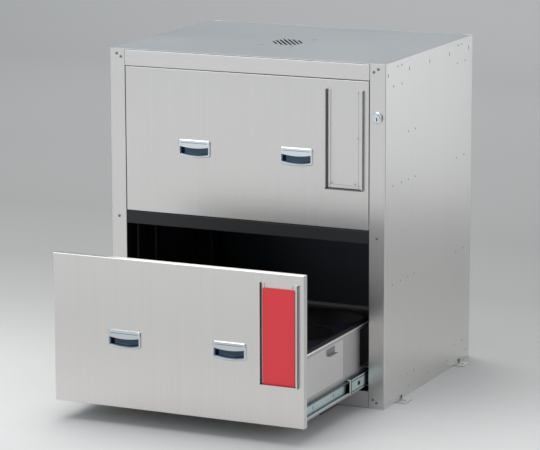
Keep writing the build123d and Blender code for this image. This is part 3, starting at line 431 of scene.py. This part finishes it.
dress(coated("black coat", (0.012, 0.012, 0.013), 0.5), "middle_rail", "vent_deflector")
rack_specular = 0.12
rack_coat = coated("rack coat", (0.004, 0.004, 0.008), 0.45)
rack_coat.node_tree.nodes["Principled BSDF"].inputs["Specular IOR Level"].default_value = rack_specular
dress(rack_coat, "lower_bottle_rack", "upper_bottle_rack")
dress(coated("black rubber", (0.01, 0.01, 0.01), 0.7), "lower_guide_pads", "upper_guide_pads",
      "lower_slide_buffers", "upper_slide_buffers")


# ---------------------------------------------------------------- drawer fronts
# Folded stainless fronts with an upright grain, each closed behind by a liner with a pale coat.
# The red card is a plain sheet slid into the lower front's holder.
front_steel = (0.75, 0.73, 0.715)
dress(brushed("front sheet", front_steel, up_grain, 0.29), "lower_front", "upper_front")
dress(coated("liner coat", (0.62, 0.615, 0.61), 0.45, 0.4), "lower_front_liner", "upper_front_liner")
dress(coated("red card", (0.84, 0.042, 0.06), 0.35), "sign_card")


# ---------------------------------------------------------------- trays
# Folded sheet with flanged top edges and a higher rear wall, stiffened beside the front. Painted shade
# darkens the hollow, the inner part of the top flange and the outer walls below the hem, which leaves a
# pale hem along the top of the sides. The lock's catch is plain sheet.
wall = 0.0013
hem = 0.006
side_height = 0.1505
stiffener_end = 0.0014
for drawer in ("lower", "upper"):
    (x_low, y_low, z_low), (x_high, y_high, z_high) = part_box(f"{drawer}_tray")
    rim = z_low + side_height
    below_hem = rim - 2 * wall
    rear = y_high - wall / 2
    tray_metal = box_shaded(brushed(f"{drawer} tray sheet", (0.76, 0.745, 0.735), deep_grain, 0.4), (
        # painted shade on the hollow, the inner part of the top flange, and the walls outside below the hem
        (0.85, (x_low + wall, y_low - wall, z_low + wall / 2), (x_high - wall, rear, rim - skin)),
        (0.75, (x_low + hem, y_low - wall, rim - skin), (x_high - hem, rear, z_high + skin)),
        (0.3, (x_low - skin, y_low, z_low), (x_low + skin, y_high, below_hem)),
        (0.3, (x_high - skin, y_low, z_low), (x_high + skin, y_high, below_hem)),
    ))
    dress(tray_metal, f"{drawer}_tray")
    low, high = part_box(f"{drawer}_side_stiffeners")
    # Painted shade on the rear end of each stiffener, marking the step where it stops.
    stiffener_metal = box_shaded(brushed(f"{drawer} stiffener sheet", (0.70, 0.685, 0.675), up_grain, 0.4), (
        (0.6, (low[0], high[1] - stiffener_end, low[2]), (high[0], high[1] + skin, high[2])),
    ))
    dress(stiffener_metal, f"{drawer}_side_stiffeners")
# The catch is painted dark, standing in for the shade of the slot it sits in.
dress(brushed("strike sheet", (0.30, 0.30, 0.31), deep_grain, 0.35), "lower_lock_strike", "upper_lock_strike")


# ---------------------------------------------------------------- card holders
# Bright sheet folded into a shallow channel on three sides, riveted to the front. Painted shade darkens
# its inner walls, the right wall's outside and the flanges' cut edges.
sheet = 0.001
flange = 0.012
cut_edge = 0.001
sill_height = 3.2 * sheet
lip = 3 * sheet
for drawer in ("lower", "upper"):
    (x_low, y_low, z_low), (x_high, y_high, z_high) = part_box(f"{drawer}_card_holder")
    flange_y = y_high - sheet - skin
    holder_shades = [
        # painted shade on the left wall and the sill from inside, and on the right wall from outside
        (0.9, (x_low + sheet - skin, y_low + skin, z_low), (x_low + sheet + skin, y_high - skin, z_high)),
        (0.88, (x_low + sheet, y_low + skin, z_low + sheet - skin),
         (x_high - sheet, y_high + skin, z_low + sill_height)),
        (0.62, (x_high - skin, y_low + 2 * skin, z_low), (x_high + skin, y_high, z_high - skin)),
        # painted shade lines on the cut edges of the left, right and lower flanges
        (0.45, (x_low + flange - cut_edge, flange_y, z_low), (x_low + flange + skin, y_high, z_high)),
        (0.45, (x_high - flange - skin, flange_y, z_low), (x_high - flange + cut_edge, y_high, z_high)),
        (0.45, (x_low, flange_y, z_low + flange - cut_edge), (x_high, y_high, z_low + flange + skin)),
    ]
    if drawer == "upper":
        # painted dark reflection on the empty holder's left and lower lips
        holder_shades += [
            (0.6, (x_low + 2 * skin, y_low - skin, z_low), (x_low + lip + skin, y_low + skin, z_high)),
            (0.75, (x_low, y_low - skin, z_low + skin), (x_high, y_low + skin, z_low + lip + skin)),
        ]
    holder_metal = brushed(f"{drawer} holder sheet", (0.74, 0.73, 0.72), up_grain, 0.3)
    dress(box_shaded(holder_metal, holder_shades), f"{drawer}_card_holder")


# ---------------------------------------------------------------- handles
# Chromed zinc castings let into the front, with a pocket for the fingers under a lip. The pocket, the
# groove over the lip and the rim's outside mirror the dark room, which the masks stand for.
pocket_start = 0.0052
groove_low, groove_high = 0.0120, 0.0156
rim_start, rim_end, rim_top = 0.0012, 0.0035, 0.0190
for drawer in ("lower", "upper"):
    low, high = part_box(f"{drawer}_handles")
    middle_z = (low[2] + high[2]) / 2
    pocket = box_mask(f"{drawer} handle pockets", (low[0], low[1] + pocket_start, low[2]), high)
    groove = box_mask(f"{drawer} handle grooves", (low[0], low[1] + skin, middle_z + groove_low),
                      (high[0], high[1], middle_z + groove_high))
    rim = box_mask(f"{drawer} handle rims", (low[0], low[1] + rim_start, low[2]),
                   (high[0], low[1] + rim_end, middle_z + rim_top))
    chrome = coated(f"{drawer} handle chrome", (0.70, 0.745, 0.775), 0.14, 1.0)
    shaded(chrome, pocket, 0.86, (0.55, 0.75, 1.0))
    shaded(chrome, groove, 0.6, (0.8, 0.92, 1.05))
    shaded(chrome, rim, 0.5, (0.8, 0.9, 1.0))
    dress(chrome, f"{drawer}_handles")


# ---------------------------------------------------------------- lock
# Chromed barrel through the right post with a nut behind it, and a plug with a keyway. The keyway and
# the flange's far edge are painted dark, standing in for their shade.
lock_chrome = (0.74, 0.76, 0.78)
flank_width = 0.0022
keyway_depth = 0.015
low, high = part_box("lock_barrel")
barrel_metal = box_shaded(coated("lock chrome", lock_chrome, 0.2, 1.0), (
    (0.65, (high[0] - flank_width, low[1] - skin, low[2]), (high[0] + skin, high[1], high[2])),
))
dress(barrel_metal, "lock_barrel", "lock_nut")
low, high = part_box("lock_plug")
plug_metal = box_shaded(coated("plug chrome", lock_chrome, 0.2, 1.0), (
    (0.95, (low[0], low[1] + skin / 2, low[2]), (high[0], low[1] + keyway_depth, high[2])),
))
dress(plug_metal, "lock_plug")


# ---------------------------------------------------------------- screws and rivets
# Dull steel screws hold the posts, the top and the back, and shoulder pins of the same steel carry the
# lock bar. Paler steel rivets with low heads hold the uprights, the base and the top to the sides.
dress(coated("screw steel", (0.24, 0.24, 0.25), 0.45, 1.0), "post_screws", "panel_screws", "lock_bar_pins")
dress(coated("rivet steel", (0.42, 0.42, 0.42), 0.4, 1.0), "left_side_rivets", "right_side_rivets")


# ---------------------------------------------------------------- slides
# Zinc-plated steel, bluish on the webs. The rolled corners, the races and the top edges carry painted
# shade and dark reflection, and the ball cages between the members are painted nearly black for shade.
def race_lines(name, middle, offset, breadth, top):
    """Mask of 1 along two lines at an offset above and below the slide's middle, and past its top edge."""
    group, _, group_out = new_group(name, [], [("Mask", "NodeSocketFloat")])
    where = group.nodes.new("ShaderNodeTexCoord")
    axes = joined(group, "ShaderNodeSeparateXYZ", {0: where.outputs["Object"]})
    rise = joined(group, "ShaderNodeMath", {0: axes.outputs["Z"], 1: middle}, operation="SUBTRACT")
    away = joined(group, "ShaderNodeMath", {0: rise.outputs[0]}, operation="ABSOLUTE")
    mask = joined(group, "ShaderNodeMath", {0: away.outputs[0], 1: offset, 2: breadth / 2},
                  operation="COMPARE")
    edge = joined(group, "ShaderNodeMath", {0: rise.outputs[0], 1: top}, operation="GREATER_THAN")
    either = joined(group, "ShaderNodeMath", {0: mask.outputs[0], 1: edge.outputs[0]}, operation="MAXIMUM")
    group.links.new(either.outputs[0], group_out.inputs["Mask"])
    return group


zinc_color = (0.60, 0.72, 0.73)
zinc = coated("zinc plate", zinc_color, 0.28, 1.0)
race_shade_tint = (0.8, 0.9, 1.0)
inner_race, inner_race_width, inner_top = 0.0110, 0.0020, 0.0122
middle_race, middle_race_width, middle_top = 0.0121, 0.0024, 0.0168
retainer_front, retainer_back, retainer_half = 0.002, 0.007, 0.009
for drawer in ("lower", "upper"):
    low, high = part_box(f"{drawer}_left_middle_slide")
    middle = (low[2] + high[2]) / 2
    inner_lines = race_lines(f"{drawer} inner races", middle, inner_race, inner_race_width, inner_top)
    middle_lines = race_lines(f"{drawer} middle races", middle, middle_race, middle_race_width, middle_top)
    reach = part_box(f"{drawer}_right_middle_slide")[1][0]
    # Painted shade across the front end of each middle member, behind its clip.
    slot = box_mask(f"{drawer} retainer slot", (-reach, low[1] + retainer_front, middle - retainer_half),
                    (reach, low[1] + retainer_back, middle + retainer_half))
    inner_zinc = shaded(coated(f"{drawer} inner zinc", zinc_color, 0.28, 1.0), inner_lines, 0.75, race_shade_tint)
    middle_zinc = shaded(coated(f"{drawer} middle zinc", zinc_color, 0.28, 1.0), middle_lines, 0.85, race_shade_tint)
    shaded(middle_zinc, slot, 0.92)
    for side in ("left", "right"):
        dress(zinc, f"{drawer}_{side}_outer_slide")
        dress(middle_zinc, f"{drawer}_{side}_middle_slide")
        dress(inner_zinc, f"{drawer}_{side}_inner_slide")
# The ball cages are painted nearly black for the shade between the members.
dress(coated("cage steel in painted shade", (0.05, 0.05, 0.055), 0.4, 1.0), "lower_outer_ball_cages", "upper_outer_ball_cages",
      "lower_inner_ball_cages", "upper_inner_ball_cages")


# ---------------------------------------------------------------- tray hems
# Each tray's sides end in a rolled hem. Its round outer corner catches the light from above, and a
# paler, half-matt copy of the tray steel paints it as a brighter highlight line.
def bead(name, x, z, start, end, radius):
    """Round rod along Y: each ring (x + r cos a, y, z + r sin a), with r falling to 0 at both ends."""
    sides = 12
    angle = np.arange(sides) * 2 * math.pi / sides
    stations = np.array([start, start + radius, end - radius, end])
    radii = np.array([0.0, radius, radius, 0.0])
    points = np.stack([
        x + radii[:, None] * np.cos(angle),
        np.broadcast_to(stations[:, None], (len(stations), sides)),
        z + radii[:, None] * np.sin(angle),
    ], axis=-1)
    ring, side = np.meshgrid(np.arange(len(stations) - 1), np.arange(sides), indexing="ij")
    after = (side + 1) % sides
    quads = np.stack([ring * sides + side, ring * sides + after,
                      (ring + 1) * sides + after, (ring + 1) * sides + side], axis=-1).reshape(-1, 4)
    return new_piece(name, points.reshape(-1, 3).tolist(), quads.tolist())


hem_highlight_metal = coated("hem highlight metal", (0.80, 0.79, 0.78), 0.4, 0.55)
hem_radius = 0.0011
hem_sink = 0.0004
for drawer in ("lower", "upper"):
    low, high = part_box(f"{drawer}_tray")
    hem_z = low[2] + side_height - hem_sink
    for side, x in (("left", low[0] + hem_sink), ("right", high[0] - hem_sink)):
        rolled = bead(f"{drawer}_{side}_tray_hem", x, hem_z, low[1] + skin, high[1] - skin, hem_radius)
        rolled.data.materials.append(hem_highlight_metal)
        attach(rolled, f"{drawer}_drawer")


# ---------------------------------------------------------------- rivets of the card holders
# Small steel rivets with round heads hold each holder's flange to the drawer front. Where the red card
# covers a rivet of the lower holder, its head isn't made.
def domes(name, centres, radius, height, toward):
    """Shallow caps, height * sqrt(1 - (r / radius) ** 2) above each centre along the unit direction."""
    rings, spokes = 5, 16
    reach = np.sin(np.linspace(0.0, math.pi / 2, rings))
    rise = np.sqrt(1 - reach ** 2) * height
    angle = np.arange(spokes) * 2 * math.pi / spokes
    toward = np.array(toward, float)
    first = np.cross(toward, (0.0, 0.0, 1.0)) if abs(toward[2]) < 0.5 else np.array((1.0, 0.0, 0.0))
    second = np.cross(toward, first)
    cap = (
        radius * reach[:, None, None] * (np.cos(angle)[:, None] * first + np.sin(angle)[:, None] * second)
        + rise[:, None, None] * toward
    )
    ring, spoke = np.meshgrid(np.arange(rings - 1), np.arange(spokes), indexing="ij")
    after = (spoke + 1) % spokes
    quads = np.stack([ring * spokes + spoke, (ring + 1) * spokes + spoke,
                      (ring + 1) * spokes + after, ring * spokes + after], axis=-1).reshape(-1, 4)
    points = np.concatenate([cap.reshape(-1, 3) + np.array(centre) for centre in centres])
    faces = np.concatenate([quads + count * rings * spokes for count in range(len(centres))])
    return new_piece(name, points.tolist(), faces.tolist())


millimetre = 0.001
rivet_metal = coated("rivet metal", (0.42, 0.41, 0.40), 0.3, 1.0)
holder_rivets_x = (0.283, 0.283, 0.219, 0.276)
holder_rivets_rise = (0.315, 0.211, 0.105, 0.105)
rivet_radius = 1.8 * millimetre
rivet_rise = 0.8 * millimetre
card_low, card_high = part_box("sign_card")
for drawer in ("lower", "upper"):
    low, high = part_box(f"{drawer}_front")
    flange_y = low[1] - sheet
    centres = [(x, flange_y, low[2] + rise) for x, rise in zip(holder_rivets_x, holder_rivets_rise)]
    centres = [
        (x, y, z) for x, y, z in centres
        if not (card_low[0] < x < card_high[0] and card_low[2] < z < card_high[2])
    ]
    rivets = domes(f"{drawer}_holder_rivets", centres, rivet_radius, rivet_rise, (0, -1, 0))
    rivets.data.materials.append(rivet_metal)
    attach(rivets, f"{drawer}_drawer")


# ---------------------------------------------------------------- screws of the inner slide members
# Low round steel heads over the three holes through which each inner member is screwed to its tray.
# Each stands on the outside of the member's web.
slide_screws_in = (0.060, 0.175, 0.420)
slide_gauge = 1.2 * millimetre
screw_radius = 4.0 * millimetre
screw_rise = 1.8 * millimetre
for drawer in ("lower", "upper"):
    for side, sign in (("left", -1), ("right", 1)):
        low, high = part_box(f"{drawer}_{side}_inner_slide")
        web = sign * (min(abs(low[0]), abs(high[0])) + slide_gauge)
        centres = [(web, low[1] + inset, (low[2] + high[2]) / 2) for inset in slide_screws_in]
        screws = domes(f"{drawer}_{side}_slide_screws", centres, screw_radius, screw_rise, (sign, 0, 0))
        screws.data.materials.append(rivet_metal)
        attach(screws, f"{drawer}_drawer")


# ---------------------------------------------------------------- clips of the middle slide members
# Moulded nylon round the front end of each middle member, open towards the drawer: a black block with
# a white lip before it, the lip a painted highlight along the clip's front. Each is a C profile carried along
# Y.
dark_length, pale_length = 0.005, 0.002
nylons = (
    ("dark", coated("black nylon", (0.012, 0.012, 0.014), 0.4), 0.0, dark_length),
    ("pale", coated("white nylon highlight", (0.72, 0.73, 0.72), 0.45), dark_length, dark_length + pale_length),
)
clip_wall = 2.2 * millimetre


def channel(name, profile, sign, start, end):
    """C profile of eight (x, z) corners carried along Y: (sign x, y, z) for y = start, then y = end."""
    count = len(profile)
    corner = np.arange(count)
    after = (corner + 1) % count
    walls = np.stack([corner, after, count + after, count + corner], axis=-1)
    ends = np.array([(0, 1, 6, 7), (1, 2, 5, 6), (2, 3, 4, 5)])
    faces = np.concatenate([walls, ends[:, ::-1], ends + count])
    if sign < 0:
        faces = faces[:, ::-1]
    points = np.stack([
        np.broadcast_to(sign * profile[:, 0], (2, count)),
        np.broadcast_to([[start], [end]], (2, count)),
        np.broadcast_to(profile[:, 1], (2, count)),
    ], axis=-1)
    return new_piece(name, points.reshape(-1, 3).tolist(), faces.tolist(), smooth=False)


for drawer in ("lower", "upper"):
    for side, sign in (("left", -1), ("right", 1)):
        low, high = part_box(f"{drawer}_{side}_middle_slide")
        outer = max(abs(low[0]), abs(high[0]))
        tip = outer - (high[0] - low[0])
        profile = np.array([
            (tip, high[2]), (outer, high[2]), (outer, low[2]), (tip, low[2]),
            (tip, low[2] + clip_wall), (outer - clip_wall, low[2] + clip_wall),
            (outer - clip_wall, high[2] - clip_wall), (tip, high[2] - clip_wall),
        ])
        for tone_name, nylon, start, end in nylons:
            clip = channel(f"{drawer}_{side}_{tone_name}_clip", profile, sign, low[1] - end, low[1] - start)
            clip.data.materials.append(nylon)
            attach(clip, f"{drawer}_middle_slides")


# ---------------------------------------------------------------- shade over the holes of the middle slide members
# Near-black leaves over the hole near each end of a middle member's web, painted shade standing in for
# the dark holes. They are bowed a little away from it.
hole_shade_black = coated("hole shade black", (0.006, 0.006, 0.007), 0.5, 1.0)
hole_in = 42 * millimetre
leaf_half_length = 7.0 * millimetre
leaf_half_height = 4.5 * millimetre
leaf_rest = 0.03 * millimetre
bow = 0.05 * millimetre
for drawer in ("lower", "upper"):
    for side, sign in (("left", -1), ("right", 1)):
        low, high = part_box(f"{drawer}_{side}_middle_slide")
        outer = max(abs(low[0]), abs(high[0]))
        along = np.linspace(-1.0, 1.0, 9)
        upward, forward = np.meshgrid(along, along * sign, indexing="ij")
        # the leaf stands leaf_rest + bow * (1 - forward ** 2) out from the web's outer face
        points = np.stack([
            sign * (outer + leaf_rest + bow * (1 - forward ** 2)),
            low[1] + hole_in + leaf_half_length * forward,
            (low[2] + high[2]) / 2 + leaf_half_height * upward,
        ], axis=-1)
        for end in ("front", "rear"):
            leaf_points = points.copy()
            if end == "rear":
                leaf_points[..., 1] = low[1] + high[1] - points[:, ::-1, 1]
            leaf = grid_mesh(f"{drawer}_{side}_{end}_spring", leaf_points)
            leaf.data.materials.append(hole_shade_black)
            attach(leaf, f"{drawer}_middle_slides")
